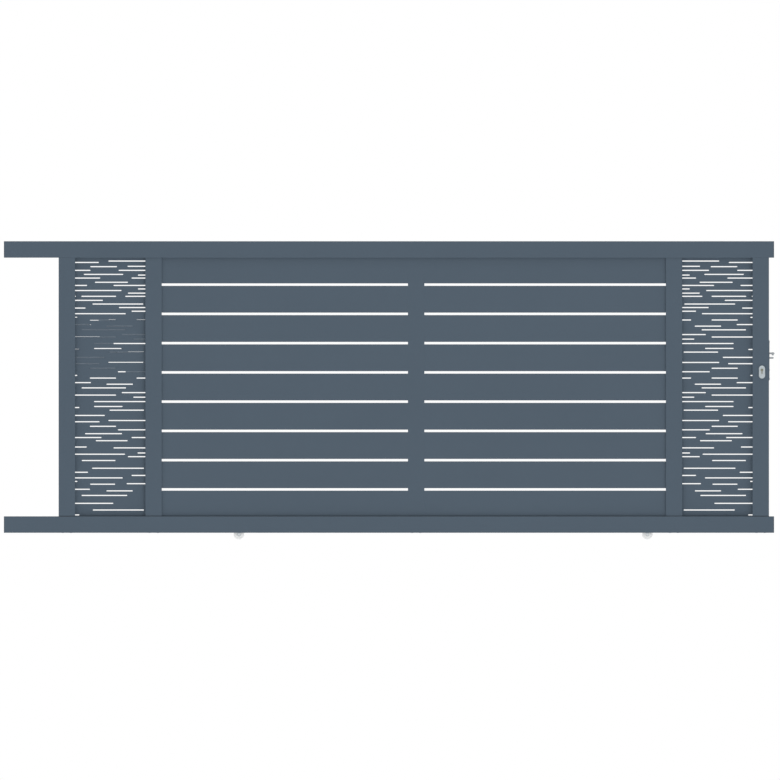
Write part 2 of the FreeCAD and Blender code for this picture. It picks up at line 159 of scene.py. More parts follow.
# Powder coat on aluminium, for the frame, the boards and the sheets
coat = {
    "colour": screenColour(76, 90, 103),
    "slowTone": 0.965,          # the darker end of the slow drift of tone
    "slowSize": 0.45,
    "skinSize": 0.6 * mm,       # the fine leathery skin of the powder
    "skinDepth": 0.03 * mm,
    "speckTone": 1.25,          # its lightest grains
    "speckShare": 0.4,
    "peelSize": 5 * mm,         # the shallow waves under it
    "peelDepth": 0.03 * mm,
    "drawnSize": 1.6 * mm,      # faint lines along a drawn profile
    "drawnDepth": 0.006 * mm,
    "roughness": (0.44, 0.56),
    "sheenSize": 60 * mm,
    "gloss": 0.25,
    "dust": screenColour(128, 134, 138),
    "dustSize": 18 * mm,
    "dustShare": 0.22,
}


def powderCoat(name, colour, drawn=None):
    material, tree, shader = startMaterial(name)
    plain = objectPoint(tree)
    skin = noise(tree, plain, coat["skinSize"], 2)
    slow = spread(tree, noise(tree, plain, coat["slowSize"]), 0, 1)
    tone = blendColours(tree, slow, tinted(colour, coat["slowTone"]), colour)
    speck = spread(tree, skin, 0, coat["speckShare"], 0.35, 0.7)
    tone = blendColours(tree, speck, tone, tinted(colour, coat["speckTone"]))
    patches = spread(tree, noise(tree, plain, coat["dustSize"], 4), 0, coat["dustShare"])
    dusty = together(tree, upwardShare(tree, 0.6), patches, "MULTIPLY")
    tone = blendColours(tree, dusty, tone, coat["dust"])
    tree.links.new(tone, shader.inputs["Base Color"])
    sheen = spread(tree, noise(tree, plain, coat["sheenSize"], 3), *coat["roughness"])
    tree.links.new(sheen, shader.inputs["Roughness"])
    relief = bump(tree, noise(tree, plain, coat["peelSize"], 1), coat["peelDepth"])
    if drawn is not None:
        lines = noise(tree, objectPoint(tree, drawn), coat["drawnSize"], 2)
        relief = bump(tree, lines, coat["drawnDepth"], relief)
    relief = bump(tree, skin, coat["skinDepth"], relief)
    tree.links.new(relief, shader.inputs["Normal"])
    shader.inputs["Specular IOR Level"].default_value = coat["gloss"]
    return material


# Bare metals: colour, tarnish and the direction of the brushing
brushLight = 1.25               # how much lighter the brushed lines are


def bareMetal(name, look):
    material, tree, shader = startMaterial(name)
    plain = objectPoint(tree)
    clouds = spread(tree, noise(tree, plain, look["cloudSize"], 4), 0, 1, 0.35, 0.65)
    tone = blendColours(tree, clouds, look["colour"], look["tarnish"])
    brushed = noise(tree, objectPoint(tree, look["brushed"]), look["lineSize"], 3)
    lines = spread(tree, brushed, 0, look["lineTone"])
    tone = blendColours(tree, lines, tone, tinted(look["colour"], brushLight))
    tree.links.new(tone, shader.inputs["Base Color"])
    tree.links.new(spread(tree, brushed, *look["roughness"]), shader.inputs["Roughness"])
    tree.links.new(bump(tree, brushed, look["lineDepth"]), shader.inputs["Normal"])
    shader.inputs["Metallic"].default_value = 1
    return material


zincPlate = {
    "colour": screenColour(222, 225, 227),
    "tarnish": screenColour(196, 201, 204),
    "cloudSize": 7 * mm,
    "brushed": (1, 1, 0.05),
    "lineSize": 0.5 * mm,
    "lineTone": 0.3,
    "lineDepth": 0.01 * mm,
    "roughness": (0.34, 0.5),
}
boltSteel = {
    "colour": screenColour(156, 160, 164),
    "tarnish": screenColour(132, 137, 142),
    "cloudSize": 9 * mm,
    "brushed": (0.06, 1, 1),
    "lineSize": 0.35 * mm,
    "lineTone": 0.4,
    "lineDepth": 0.012 * mm,
    "roughness": (0.3, 0.44),
}
lockSteel = {
    "colour": screenColour(122, 126, 131),
    "tarnish": screenColour(108, 113, 119),
    "cloudSize": 14 * mm,
    "brushed": (1, 1, 0.04),
    "lineSize": 0.4 * mm,
    "lineTone": 0.35,
    "lineDepth": 0.008 * mm,
    "roughness": (0.28, 0.4),
}
satinSteel = {
    "colour": screenColour(179, 187, 191),
    "tarnish": screenColour(169, 177, 180),
    "cloudSize": 22 * mm,
    "brushed": (1, 1, 0.03),
    "lineSize": 0.3 * mm,
    "lineTone": 0.35,
    "lineDepth": 0.006 * mm,
    "roughness": (0.3, 0.42),
}
nickelPlate = {
    "colour": screenColour(148, 153, 150),
    "tarnish": screenColour(134, 139, 134),
    "cloudSize": 5 * mm,
    "brushed": (1, 1, 1),
    "lineSize": 0.25 * mm,
    "lineTone": 0.2,
    "lineDepth": 0.003 * mm,
    "roughness": (0.22, 0.34),
}
wornBrass = {
    "colour": screenColour(140, 140, 122),
    "tarnish": screenColour(116, 118, 104),
    "cloudSize": 3 * mm,
    "brushed": (1, 1, 0.2),
    "lineSize": 0.2 * mm,
    "lineTone": 0.3,
    "lineDepth": 0.004 * mm,
    "roughness": (0.26, 0.4),
}


# Moulded plastics and rubber
def moulded(name, look):
    material, tree, shader = startMaterial(name)
    plain = objectPoint(tree)
    clouds = spread(tree, noise(tree, plain, look["cloudSize"], 3), 0, 1)
    tone = blendColours(tree, clouds, look["colour"], tinted(look["colour"], look["cloudTone"]))
    tree.links.new(tone, shader.inputs["Base Color"])
    grain = noise(tree, plain, look["grainSize"], 2)
    tree.links.new(spread(tree, grain, *look["roughness"]), shader.inputs["Roughness"])
    relief = bump(tree, grain, look["grainDepth"])
    if look.get("rings"):
        relief = bump(tree, ringNoise(tree, look["rings"]), look["ringDepth"], relief)
    tree.links.new(relief, shader.inputs["Normal"])
    shader.inputs["Specular IOR Level"].default_value = look["gloss"]
    return material


capPlastic = {
    "colour": screenColour(74, 86, 99),
    "cloudTone": 0.92,
    "cloudSize": 20 * mm,
    "grainSize": 0.5 * mm,
    "grainDepth": 0.02 * mm,
    "roughness": (0.5, 0.64),
    "gloss": 0.35,
}
packerPlastic = {
    "colour": screenColour(58, 66, 74),
    "cloudTone": 0.9,
    "cloudSize": 12 * mm,
    "grainSize": 0.6 * mm,
    "grainDepth": 0.02 * mm,
    "roughness": (0.5, 0.66),
    "gloss": 0.35,
}
sealRubber = {
    "colour": screenColour(34, 36, 38),
    "cloudTone": 0.8,
    "cloudSize": 30 * mm,
    "grainSize": 0.35 * mm,
    "grainDepth": 0.015 * mm,
    "roughness": (0.6, 0.78),
    "gloss": 0.3,
}
wheelNylon = {
    "colour": screenColour(249, 250, 250),
    "cloudTone": 0.96,
    "cloudSize": 9 * mm,
    "grainSize": 0.4 * mm,
    "grainDepth": 0.008 * mm,
    "roughness": (0.36, 0.5),
    "gloss": 0.4,
    "rings": 0.35 * mm,
    "ringDepth": 0.02 * mm,
}

alongX = (0.02, 1, 1)
alongZ = (1, 1, 0.02)
paint = {
    "rail": powderCoat("railPaint", coat["colour"], alongX),
    "upright": powderCoat("uprightPaint", coat["colour"], alongZ),
    "board": powderCoat("boardPaint", coat["colour"], alongX),
    "sheet": powderCoat("sheetPaint", coat["colour"]),
    # the lap sheet's lighter tone is painted light: it sits in shade behind the front sheet and still reads
    # light through the slots
    "lapSheet": powderCoat("lapSheetPaint", screenColour(122, 134, 146)),
}
metal = {
    "zinc": bareMetal("zincPlate", zincPlate),
    "bolt": bareMetal("boltSteel", boltSteel),
    "lock": bareMetal("lockSteel", lockSteel),
    "satin": bareMetal("satinSteel", satinSteel),
    "nickel": bareMetal("nickelPlate", nickelPlate),
    "brass": bareMetal("wornBrass", wornBrass),
}
plastic = {
    "cap": moulded("capPlastic", capPlastic),
    "packer": moulded("packerPlastic", packerPlastic),
    "seal": moulded("sealRubber", sealRubber),
    "nylon": moulded("wheelNylon", wheelNylon),
}


# Mesh bricks

def block(mesh, low, high, edge=0.0, steps=2):
    # a block between two corners, its edges eased where edge is more than 0
    low, high = Vector(low), Vector(high)
    middle = (low + high) / 2
    corners = bmesh.ops.create_cube(mesh, size=1)["verts"]
    for corner in corners:
        corner.co = Vector(middle[i] + corner.co[i] * (high[i] - low[i]) for i in range(3))
    if edge > 0:
        edges = list(dict.fromkeys(line for corner in corners for line in corner.link_edges))
        bmesh.ops.bevel(mesh, geom=edges, offset=edge, segments=steps, profile=0.5, affect="EDGES")


def turned(mesh, outline, centre, steps=72, closed=True):
    # an outline of (distance from the axle, place along Y), turned round an axle along Y
    rings = []
    for distance, along in outline:
        count = steps if distance > 0 else 1
        ring = []
        for step in range(count):
            angle = 2 * math.pi * step / steps
            offset = Vector((distance * math.cos(angle), along, distance * math.sin(angle)))
            ring.append(mesh.verts.new(Vector(centre) + offset))
        rings.append(ring)
    pairs = list(zip(rings, rings[1:]))
    if closed:
        pairs.append((rings[-1], rings[0]))
    for first, second in pairs:
        for step in range(steps):
            after = (step + 1) % steps
            corners = [first[step % len(first)], first[after % len(first)]]
            corners += [second[after % len(second)], second[step % len(second)]]
            corners = list(dict.fromkeys(corners))
            if len(corners) > 2:
                mesh.faces.new(corners)


chamferSlope = 1.4              # how much further a head's chamfer runs in than down


def hexagon(mesh, centre, acrossFlats, start, end, chamfer):
    # a six-sided head or nut along Y, its outer end chamfered
    outward = 1 if end > start else -1
    radius = acrossFlats / math.sqrt(3)
    outline = [
        (radius, start), (radius, end - outward * chamfer), (radius - chamfer * chamferSlope, end)
    ]
    turned(mesh, [(0, start), *outline, (0, end)], centre, steps=6, closed=False)


def asPiece(name, mesh, material, body, sharpest=35):
    # a finished mesh as one piece of the object, riding on its body
    bmesh.ops.recalc_face_normals(mesh, faces=mesh.faces)
    data = bpy.data.meshes.new(name)
    mesh.to_mesh(data)
    mesh.free()
    return dress(bpy.data.objects.new(name, data), material, body, sharpest)


def dress(piece, material, body, sharpest=35):
    if piece.name not in bpy.context.scene.collection.objects:
        bpy.context.scene.collection.objects.link(piece)
    piece.data.materials.clear()
    piece.data.materials.append(material)
    piece.data.shade_smooth()
    piece.data.set_sharp_from_angle(angle=math.radians(sharpest))
    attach(piece, body)
    return piece


def storeAxleDistance(piece, centre):
    distance = piece.data.attributes.new("fromAxle", "FLOAT", "POINT")
    for vertex in piece.data.vertices:
        offset = vertex.co - Vector(centre)
        distance.data[vertex.index].value = math.hypot(offset.x, offset.z)


def easedCopy(node, name, material, body, edge, sharpest=30):
    # a CAD node whose sharp edges are eased, standing for the node itself
    mesh = bmesh.new()
    mesh.from_mesh(nodes[node].data)
    bmesh.ops.remove_doubles(mesh, verts=mesh.verts, dist=0.001 * mm)
    flat = math.radians(1)
    bmesh.ops.dissolve_limit(mesh, angle_limit=flat, verts=mesh.verts, edges=mesh.edges)
    sharp = [line for line in mesh.edges if line.calc_face_angle(0) > math.radians(sharpest)]
    bmesh.ops.bevel(
        mesh, geom=sharp, offset=edge, segments=2, profile=0.5, affect="EDGES", clamp_overlap=True
    )
    data = bpy.data.meshes.new(name)
    mesh.to_mesh(data)
    mesh.free()
    for layer in [layer for layer in data.attributes if layer.name == "custom_normal"]:
        data.attributes.remove(layer)
    piece = dress(bpy.data.objects.new(name, data), material, body, sharpest)
    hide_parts(node)
    return piece


# Geometry Nodes bricks

def startTree(name, inputs):
    tree = bpy.data.node_groups.new(name, "GeometryNodeTree")
    tree.interface.new_socket("Geometry", in_out="INPUT", socket_type="NodeSocketGeometry")
    for label, kind in inputs:
        tree.interface.new_socket(label, in_out="INPUT", socket_type=kind)
    tree.interface.new_socket("Geometry", in_out="OUTPUT", socket_type="NodeSocketGeometry")
    return tree, tree.nodes.new("NodeGroupInput"), tree.nodes.new("NodeGroupOutput")


def closeTree(tree, entry, leave, shape):
    # every tree ends in real faces with their finish
    real = tree.nodes.new("GeometryNodeRealizeInstances")
    finish = tree.nodes.new("GeometryNodeSetMaterial")
    tree.links.new(shape, real.inputs["Geometry"])
    tree.links.new(real.outputs["Geometry"], finish.inputs["Geometry"])
    tree.links.new(entry.outputs["Finish"], finish.inputs["Material"])
    tree.links.new(finish.outputs["Geometry"], leave.inputs["Geometry"])


def grow(name, tree, points, settings, body, sharpest=35):
    # runs a tree on a few points and keeps its result as a plain mesh
    seeds = bpy.data.meshes.new(name + "Seeds")
    seeds.from_pydata([tuple(point) for point in points], [], [])
    piece = bpy.data.objects.new(name, seeds)
    bpy.context.scene.collection.objects.link(piece)
    modifier = piece.modifiers.new(tree.name, "NODES")
    modifier.node_group = tree
    for item in tree.interface.items_tree:
        if item.in_out == "INPUT" and item.name in settings:
            modifier[item.identifier] = settings[item.name]
    ready = bpy.context.evaluated_depsgraph_get()
    grown = bpy.data.meshes.new_from_object(piece.evaluated_get(ready), depsgraph=ready)
    piece.modifiers.clear()
    piece.data = grown
    return dress(piece, settings["Finish"], body, sharpest)


def makeRepeatTree():
    # sets one modelled part on every point, each turned a little about its own axis
    tree, entry, leave = startTree("setOnPoints", [
        ("Part", "NodeSocketObject"),
        ("Facing", "NodeSocketVector"),
        ("Turn Spread", "NodeSocketFloat"),
        ("Turn Seed", "NodeSocketInt"),
        ("Finish", "NodeSocketMaterial"),
    ])
    part = tree.nodes.new("GeometryNodeObjectInfo")
    part.inputs["As Instance"].default_value = True
    tree.links.new(entry.outputs["Part"], part.inputs["Object"])
    facing = tree.nodes.new("FunctionNodeAlignRotationToVector")
    facing.axis = "Z"
    tree.links.new(entry.outputs["Facing"], facing.inputs["Vector"])
    less = tree.nodes.new("ShaderNodeMath")
    less.operation = "MULTIPLY"
    less.inputs[1].default_value = -1
    tree.links.new(entry.outputs["Turn Spread"], less.inputs[0])
    turn = tree.nodes.new("FunctionNodeRandomValue")
    turn.data_type = "FLOAT"
    tree.links.new(less.outputs[0], turn.inputs[2])
    tree.links.new(entry.outputs["Turn Spread"], turn.inputs[3])
    tree.links.new(entry.outputs["Turn Seed"], turn.inputs["Seed"])
    about = tree.nodes.new("ShaderNodeCombineXYZ")
    tree.links.new(turn.outputs[1], about.inputs["Z"])
    local = tree.nodes.new("FunctionNodeRotateRotation")
    local.rotation_space = "LOCAL"
    tree.links.new(facing.outputs["Rotation"], local.inputs["Rotation"])
    tree.links.new(about.outputs["Vector"], local.inputs["Rotate By"])
    placed = tree.nodes.new("GeometryNodeInstanceOnPoints")
    tree.links.new(entry.outputs["Geometry"], placed.inputs["Points"])
    tree.links.new(part.outputs["Geometry"], placed.inputs["Instance"])
    tree.links.new(local.outputs["Rotation"], placed.inputs["Rotation"])
    closeTree(tree, entry, leave, placed.outputs["Instances"])
    return tree


def makePackerTree():
    # a column of rounded blocks that rises from every point
    tree, entry, leave = startTree("packerColumns", [
        ("Width", "NodeSocketFloat"),
        ("Depth", "NodeSocketFloat"),
        ("Height", "NodeSocketFloat"),
        ("Corner", "NodeSocketFloat"),
        ("Pitch", "NodeSocketFloat"),
        ("Count", "NodeSocketInt"),
        ("Finish", "NodeSocketMaterial"),
    ])
    outline = tree.nodes.new("GeometryNodeCurvePrimitiveQuadrilateral")
    tree.links.new(entry.outputs["Width"], outline.inputs["Width"])
    tree.links.new(entry.outputs["Depth"], outline.inputs["Height"])
    corners = tree.nodes.new("GeometryNodeFilletCurve")
    corners.mode = "POLY"
    corners.inputs["Count"].default_value = 3
    tree.links.new(outline.outputs["Curve"], corners.inputs["Curve"])
    tree.links.new(entry.outputs["Corner"], corners.inputs["Radius"])
    filled = tree.nodes.new("GeometryNodeFillCurve")
    filled.mode = "NGONS"
    tree.links.new(corners.outputs["Curve"], filled.inputs["Curve"])
    rise = tree.nodes.new("ShaderNodeCombineXYZ")
    tree.links.new(entry.outputs["Height"], rise.inputs["Z"])
    walls = tree.nodes.new("GeometryNodeExtrudeMesh")
    walls.inputs["Individual"].default_value = False
    tree.links.new(filled.outputs["Mesh"], walls.inputs["Mesh"])
    tree.links.new(rise.outputs["Vector"], walls.inputs["Offset"])
    foot = tree.nodes.new("GeometryNodeFlipFaces")
    tree.links.new(filled.outputs["Mesh"], foot.inputs["Mesh"])
    whole = tree.nodes.new("GeometryNodeJoinGeometry")
    tree.links.new(foot.outputs["Mesh"], whole.inputs["Geometry"])
    tree.links.new(walls.outputs["Mesh"], whole.inputs["Geometry"])
    welded = tree.nodes.new("GeometryNodeMergeByDistance")
    welded.inputs["Distance"].default_value = 0.01 * mm
    tree.links.new(whole.outputs["Geometry"], welded.inputs["Geometry"])
    step = tree.nodes.new("ShaderNodeCombineXYZ")
    tree.links.new(entry.outputs["Pitch"], step.inputs["Z"])
    column = tree.nodes.new("GeometryNodeMeshLine")
    tree.links.new(entry.outputs["Count"], column.inputs["Count"])
    tree.links.new(step.outputs["Vector"], column.inputs["Offset"])
    stack = tree.nodes.new("GeometryNodeInstanceOnPoints")
    tree.links.new(column.outputs["Mesh"], stack.inputs["Points"])
    tree.links.new(welded.outputs["Geometry"], stack.inputs["Instance"])
    columns = tree.nodes.new("GeometryNodeInstanceOnPoints")
    tree.links.new(entry.outputs["Geometry"], columns.inputs["Points"])
    tree.links.new(stack.outputs["Instances"], columns.inputs["Instance"])
    closeTree(tree, entry, leave, columns.outputs["Instances"])
    return tree


def makeSpokeTree():
    # short ribs set like spokes round an axle along Y
    tree, entry, leave = startTree("spokes", [
        ("Count", "NodeSocketInt"),
        ("Middle Radius", "NodeSocketFloat"),
        ("Length", "NodeSocketFloat"),
        ("Width", "NodeSocketFloat"),
        ("Height", "NodeSocketFloat"),
        ("Finish", "NodeSocketMaterial"),
    ])
    circle = tree.nodes.new("GeometryNodeMeshCircle")
    tree.links.new(entry.outputs["Count"], circle.inputs["Vertices"])
    tree.links.new(entry.outputs["Middle Radius"], circle.inputs["Radius"])
    out = tree.nodes.new("GeometryNodeInputPosition")
    away = tree.nodes.new("FunctionNodeAlignRotationToVector")
    away.axis = "X"
    away.pivot_axis = "Z"
    tree.links.new(out.outputs["Position"], away.inputs["Vector"])
    size = tree.nodes.new("ShaderNodeCombineXYZ")
    tree.links.new(entry.outputs["Length"], size.inputs["X"])
    tree.links.new(entry.outputs["Width"], size.inputs["Y"])
    tree.links.new(entry.outputs["Height"], size.inputs["Z"])
    rib = tree.nodes.new("GeometryNodeMeshCube")
    tree.links.new(size.outputs["Vector"], rib.inputs["Size"])
    ribs = tree.nodes.new("GeometryNodeInstanceOnPoints")
    tree.links.new(circle.outputs["Mesh"], ribs.inputs["Points"])
    tree.links.new(rib.outputs["Mesh"], ribs.inputs["Instance"])
    tree.links.new(away.outputs["Rotation"], ribs.inputs["Rotation"])
    upright = tree.nodes.new("GeometryNodeTransform")
    upright.inputs["Rotation"].default_value = Euler((math.radians(90), 0, 0))
    tree.links.new(ribs.outputs["Instances"], upright.inputs["Geometry"])
    placed = tree.nodes.new("GeometryNodeInstanceOnPoints")
    tree.links.new(entry.outputs["Geometry"], placed.inputs["Points"])
    tree.links.new(upright.outputs["Geometry"], placed.inputs["Instance"])
    closeTree(tree, entry, leave, placed.outputs["Instances"])
    return tree


repeatTree = makeRepeatTree()
packerTree = makePackerTree()
spokeTree = makeSpokeTree()
print("trees:", len(bpy.data.node_groups))


# Finishes of the CAD nodes that stay as they are
bodyOf = {node: body for body, members in frame["record"]["behaviour"]["bodies"].items() for node in members}
slotOf = {part["node"]: part["material_slot"] for part in frame["record"]["subparts"]}
finishOf = {
    "frame_paint": paint["upright"],
    "board_paint": paint["board"],
    "sheet_paint": paint["sheet"],
    "lap_sheet_paint": paint["lapSheet"],
    "cap_plastic": plastic["cap"],
    "wheel_nylon": plastic["nylon"],
    "zinc_steel": metal["zinc"],
    "bolt_steel": metal["bolt"],
    "lock_steel": metal["lock"],
    "escutcheon_satin": metal["satin"],
    "cylinder_nickel": metal["nickel"],
    "plug_brass": metal["brass"],
}
for node, nodeObject in nodes.items():
    nodeObject.material_slots[0].material = finishOf[slotOf[node]]
for node in ("bottom_rail", "top_rail"):
    nodes[node].material_slots[0].material = paint["rail"]

# Places that several pieces share
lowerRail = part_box("bottom_rail")
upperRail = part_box("top_rail")
railFoot, railHead = lowerRail[1].z, upperRail[0].z    # the open height between the rails
front, back = lowerRail[0].y, lowerRail[1].y


# End caps: a moulded plate with a shallow field, and the spigot behind it
endCap = {
    "edge": 1.2 * mm,
    "border": 6 * mm,
    "fieldDepth": 0.9 * mm,
    "fieldSlope": 0.9 * mm,
    "spigotInset": 3 * mm,      # from the rail's front and back
    "spigotShorter": 10 * mm,   # than the rail, above and below
}


def makeEndCap(node):
    low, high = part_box(node)
    outward = 1 if high.x > 0 else -1
    seat = lowerRail[1].x if outward > 0 else lowerRail[0].x
    face = high.x if outward > 0 else low.x
    rail = lowerRail if low.z < railFoot / 2 else upperRail
    plateLow = (min(seat, face), front, rail[0].z)
    plateHigh = (max(seat, face), back, rail[1].z)
    mesh = bmesh.new()
    block(mesh, plateLow, plateHigh, endCap["edge"])
    faces = [side for side in mesh.faces if side.normal.x * outward > 0.99]
    field = max(faces, key=lambda side: side.calc_area())
    bmesh.ops.inset_region(mesh, faces=[field], thickness=endCap["border"])
    bmesh.ops.inset_region(
        mesh, faces=[field], thickness=endCap["fieldSlope"], depth=-endCap["fieldDepth"]
    )
    # an inset adds its faces in an order of chance, so they're sorted by where they lie
    unlike = Vector((1, 3, 7))
    mesh.faces.sort(key=lambda side: side.calc_center_median().dot(unlike))
    spigotX = sorted((seat, low.x if outward > 0 else high.x))
    inset, shorter = endCap["spigotInset"], endCap["spigotShorter"]
    block(
        mesh,
        (spigotX[0], front + inset, rail[0].z + shorter),
        (spigotX[1], back - inset, rail[1].z - shorter),
    )
    piece = asPiece(node + "_moulding", mesh, plastic["cap"], "leaf")
    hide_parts(node)


capNodes = [node for node in nodes if node.endswith("_cap")]
for node in capNodes:
    makeEndCap(node)
print("end caps:", len(capNodes))


# Strips that close the rails' grooves where no board stands, and fill them beside the sheets
grooveStrip = {
    "depth": 5.6 * mm,
    "recess": 0.3 * mm,
    "play": 0.15 * mm,
    "edge": 0.5 * mm,
}


def makeGrooveStrips():
    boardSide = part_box("left_board_1")[1].y + grooveStrip["play"]
    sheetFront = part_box("left_slotted_sheet")[0].y - grooveStrip["play"]
    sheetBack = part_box("left_slotted_sheet")[1].y + grooveStrip["play"]
    tail = (lowerRail[0].x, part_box("left_stile")[0].x)
    nose = (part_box("lock_stile")[1].x, lowerRail[1].x)
    leftWindow = (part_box("left_stile")[1].x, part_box("left_inner_upright")[0].x)
    rightWindow = (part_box("right_inner_upright")[1].x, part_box("lock_stile")[0].x)
    openings = [(tail, (-boardSide, boardSide)), (nose, (-boardSide, boardSide))]
    for window in (leftWindow, rightWindow):
        openings.append((window, (-boardSide, sheetFront)))
        openings.append((window, (sheetBack, boardSide)))
    lower = (railFoot - grooveStrip["depth"], railFoot - grooveStrip["recess"])
    upper = (railHead + grooveStrip["recess"], railHead + grooveStrip["depth"])
    mesh = bmesh.new()
    for reach, width in openings:
        for height in (lower, upper):
            low = (reach[0] + grooveStrip["play"], width[0], height[0])
            high = (reach[1] - grooveStrip["play"], width[1], height[1])
            block(mesh, low, high, grooveStrip["edge"])
    asPiece("groove_strips", mesh, paint["rail"], "leaf")
    return 2 * len(openings)


print("groove strips:", makeGrooveStrips())


# Rubber seals behind the sheets, in the grooves of the uprights
sheetSeal = {
    "width": 7 * mm,
    "recess": 0.4 * mm,
    "play": 0.05 * mm,
    "depth": 3.15 * mm,
    "edge": 0.7 * mm,
}


def makeSheetSeals():
    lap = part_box("left_lap_sheet")
    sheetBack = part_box("left_slotted_sheet")[1].y
    whole = [(railFoot, railHead)]
    split = [(railFoot, lap[0].z), (lap[1].z, railHead)]
    edges = [
        (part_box("left_stile")[1].x, -1, split),
        (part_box("left_inner_upright")[0].x, 1, split),
        (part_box("right_inner_upright")[1].x, -1, whole),
        (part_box("lock_stile")[0].x, 1, whole),
    ]
    mesh = bmesh.new()
    for edgeX, inward, stretches in edges:
        mouth = edgeX + inward * sheetSeal["recess"]
        sides = sorted((mouth, mouth + inward * sheetSeal["width"]))
        for foot, head in stretches:
            low = (sides[0], sheetBack + sheetSeal["play"], foot)
            high = (sides[1], sheetBack + sheetSeal["depth"], head)
            block(mesh, low, high, sheetSeal["edge"])
    asPiece("sheet_seals", mesh, plastic["seal"], "leaf")


makeSheetSeals()
print("sheet seals: 4")


# Painted shade in dark rubber: a pad under each upright, and beads at the foot of the boards and the sheets,
# that stand in for the shade line along the bottom rail
footShadeSeal = {
    "above": 2.8 * mm,
    "below": 0.6 * mm,
    "proud": 0.35 * mm,
    "lip": 1.6 * mm,            # how far a bead stands out in front of a board or a sheet
    "edge": 0.5 * mm,
}


def makeFootShadeSeals():
    # the dark rubber paints the shade line where the uprights, boards and sheets meet the bottom rail
    foot, head = railFoot - footShadeSeal["below"], railFoot + footShadeSeal["above"]
    proud, lip = footShadeSeal["proud"], footShadeSeal["lip"]
    frontNodes = ("left_stile", "left_inner_upright", "right_inner_upright", "lock_stile")
    uprights = [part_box(node) for node in frontNodes]
    pads = []
    for low, high in uprights:
        pads.append(((low.x - proud, low.y - proud), (high.x + proud, high.y + proud)))
    board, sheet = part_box("left_board_1"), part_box("left_slotted_sheet")
    for before, after, layer in zip(uprights, uprights[1:], (sheet, board, sheet)):
        reach = (before[1].x, after[0].x)
        pads.append(((reach[0], layer[0].y - lip), (reach[1], layer[0].y)))
        pads.append(((reach[0], layer[1].y), (reach[1], layer[1].y + lip)))
    mesh = bmesh.new()
    for low, high in pads:
        block(mesh, (*low, foot), (*high, head), footShadeSeal["edge"])
    asPiece("foot_seals", mesh, plastic["seal"], "leaf")
    return len(pads)


print("foot seals:", makeFootShadeSeals())


# Packers that keep the boards apart, in the grooves of the inner uprights
packer = {
    "recess": 0.6 * mm,
    "play": 0.2 * mm,
    "corner": 0.8 * mm,
}


def makePackers():
    first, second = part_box("left_board_1"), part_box("left_board_2")
    pitch = second[0].z - first[0].z
    gap = second[0].z - first[1].z
    count = sum(node.startswith("left_board") for node in nodes) - 1
    ends = [
        (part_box("left_inner_upright")[1].x, first[0].x),
        (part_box("right_inner_upright")[0].x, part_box("right_board_1")[1].x),
    ]
    width = abs(ends[0][0] - ends[0][1]) - packer["recess"] - packer["play"]
    points = []
    for mouth, bottom in ends:
        inward = 1 if bottom > mouth else -1
        middle = mouth + inward * (packer["recess"] + width / 2)
        points.append((middle, 0, first[1].z + packer["play"] / 2))
    grow("board_packers", packerTree, points, {
        "Width": width,
        "Depth": first[1].y - first[0].y,
        "Height": gap - packer["play"],
        "Corner": packer["corner"],
        "Pitch": pitch,
        "Count": count,
        "Finish": plastic["packer"],
    }, "leaf")
    return count * len(points)


print("board packers:", makePackers())


# Plugs in the screw holes under the bottom rail, two below each upright
holePlug = {
    "radius": 6 * mm,
    "rise": 0.9 * mm,
    "taper": 0.2 * mm,          # how far its wall leans in, halfway up
    "shoulder": 1.2 * mm,       # from the edge to the start of its flat rim
    "rim": 2.4 * mm,            # from the edge to the end of that rim
    "dish": 2.8 * mm,           # from the edge to the foot of its hollow
    "dishShare": 0.7,           # height of the hollow's floor, as a share of the rise
    "apart": 46 * mm,
    "seed": 3,
}


def makeHolePlugs():
    mesh = bmesh.new()
    radius, rise = holePlug["radius"], holePlug["rise"]
    floor = rise * holePlug["dishShare"]
    outline = [
        (0, 0), (radius, 0), (radius - holePlug["taper"], rise / 2),
        (radius - holePlug["shoulder"], rise), (radius - holePlug["rim"], rise),
        (radius - holePlug["dish"], floor), (0, floor),
    ]
    turned(mesh, [(far, -up) for far, up in outline], (0, 0, 0), steps=32, closed=False)
    bmesh.ops.rotate(mesh, verts=mesh.verts, matrix=Euler((math.radians(-90), 0, 0)).to_matrix())
    bmesh.ops.recalc_face_normals(mesh, faces=mesh.faces)
    data = bpy.data.meshes.new("hole_plug_part")
    mesh.to_mesh(data)
    mesh.free()
    part = bpy.data.objects.new("hole_plug_part", data)
    points = []
    uprights = (
        "left_stile", "left_inner_upright", "centre_upright", "right_inner_upright", "lock_stile"
    )
    for node in uprights:
        low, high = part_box(node)
        for side in (-0.5, 0.5):
            points.append(((low.x + high.x) / 2 + side * holePlug["apart"], 0, lowerRail[0].z))
    grow("hole_plugs", repeatTree, points, {
        "Part": part,
        "Facing": (0, 0, -1),
        "Turn Spread": math.pi,
        "Turn Seed": holePlug["seed"],
        "Finish": plastic["cap"],
    }, "leaf")
    bpy.data.objects.remove(part)
    return len(points)


print("hole plugs:", makeHolePlugs())


